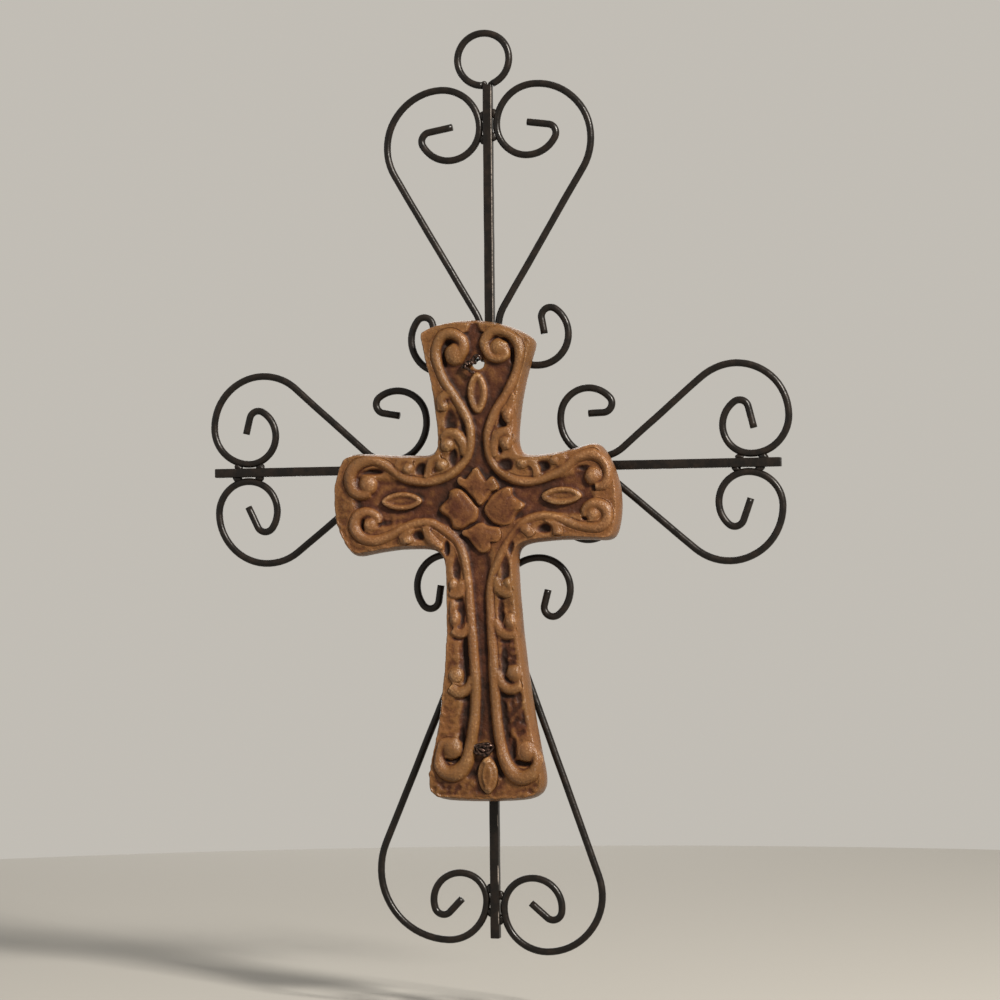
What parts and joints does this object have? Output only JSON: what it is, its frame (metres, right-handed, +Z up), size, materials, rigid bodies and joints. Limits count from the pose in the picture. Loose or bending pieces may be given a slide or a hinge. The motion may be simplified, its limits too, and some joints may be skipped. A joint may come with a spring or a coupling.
{
  "type": "wall cross",
  "caption": "Moulded clay relief cross tied with wire to a black iron frame of bars and S-scrolls, hung by a wire ring at its top.",
  "frame": {"origin": "inside of the hanging ring's top, where the nail bears", "axes": "+Z up along the upright, +X to the right as seen from the front, the carved face towards -Y"},
  "size_m": [0.2647, 0.0249, 0.4077],
  "materials": {
    "fired_clay": "semi-gloss brown glaze, rubbed lighter on the high places and dark in the hollows",
    "black_iron": "semi-gloss black paint on iron, worn at a few edges",
    "tie_wire": "shiny dark annealed wire"
  },
  "bodies": {
    "root": {"clay_cross": "fired_clay", "upright_bar": "black_iron", "cross_bar": "black_iron", "scroll_top_left": "black_iron", "scroll_top_right": "black_iron", "scroll_right_upper": "black_iron", "scroll_right_lower": "black_iron", "scroll_bottom_left": "black_iron", "scroll_bottom_right": "black_iron", "scroll_left_upper": "black_iron", "scroll_left_lower": "black_iron", "hang_ring": "black_iron", "tie_upper": "tie_wire", "tie_lower": "tie_wire"}
  },
  "joints": []
}
